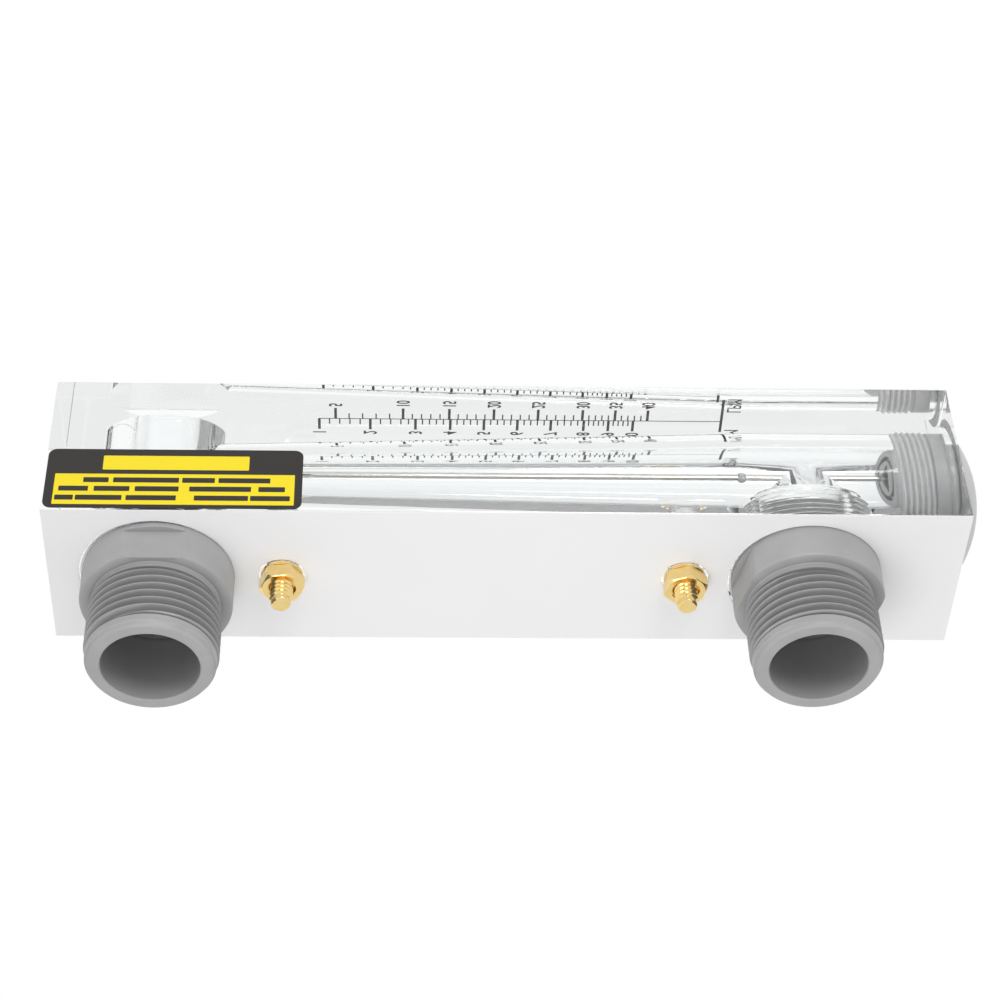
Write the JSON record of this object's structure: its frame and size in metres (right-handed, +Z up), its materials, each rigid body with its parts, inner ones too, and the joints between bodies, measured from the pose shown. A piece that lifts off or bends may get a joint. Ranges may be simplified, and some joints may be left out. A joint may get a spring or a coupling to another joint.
{
  "type": "rotameter",
  "caption": "Clear acrylic block flow meter with a tapered bore, guided float, rear pipe fittings and panel mounting studs.",
  "frame": {"origin": "centre of the two mounting studs, on the block's back face", "axes": "+Z up the metering tube, the way the fluid flows; +Y out of the back, towards the panel; +X right as seen by the reader in front"},
  "size_m": [0.0462, 0.0764, 0.2338],
  "materials": {
    "clear_acrylic": "polished clear acrylic",
    "white_film": "opaque white vinyl film",
    "sticker_print": "printed vinyl sticker, black with yellow fields",
    "stainless": "turned stainless steel",
    "clear_rubber": "translucent silicone rubber",
    "grey_plastic": "moulded grey engineering plastic",
    "seal_rubber": "pale rubber",
    "brass": "polished brass"
  },
  "bodies": {
    "meter": {"body_block": "clear_acrylic", "back_film": "white_film", "side_sticker": "sticker_print", "guide_rod": "stainless", "lower_stop": "clear_rubber", "upper_stop": "clear_rubber", "end_plug": "grey_plastic", "end_plug_o_ring": "seal_rubber", "inlet_fitting": "grey_plastic", "outlet_fitting": "grey_plastic", "inlet_o_ring": "seal_rubber", "outlet_o_ring": "seal_rubber", "lower_insert": "brass", "lower_stud": "brass", "lower_washer": "brass", "lower_nut": "brass", "upper_insert": "brass", "upper_stud": "brass", "upper_washer": "brass", "upper_nut": "brass"},
    "float": {"float": "stainless"}
  },
  "joints": [
    {"name": "float_rise", "type": "slide", "parent": "meter", "child": "float", "axis": [0, 0, 1], "range_m": [0, 0.1154]}
  ]
}
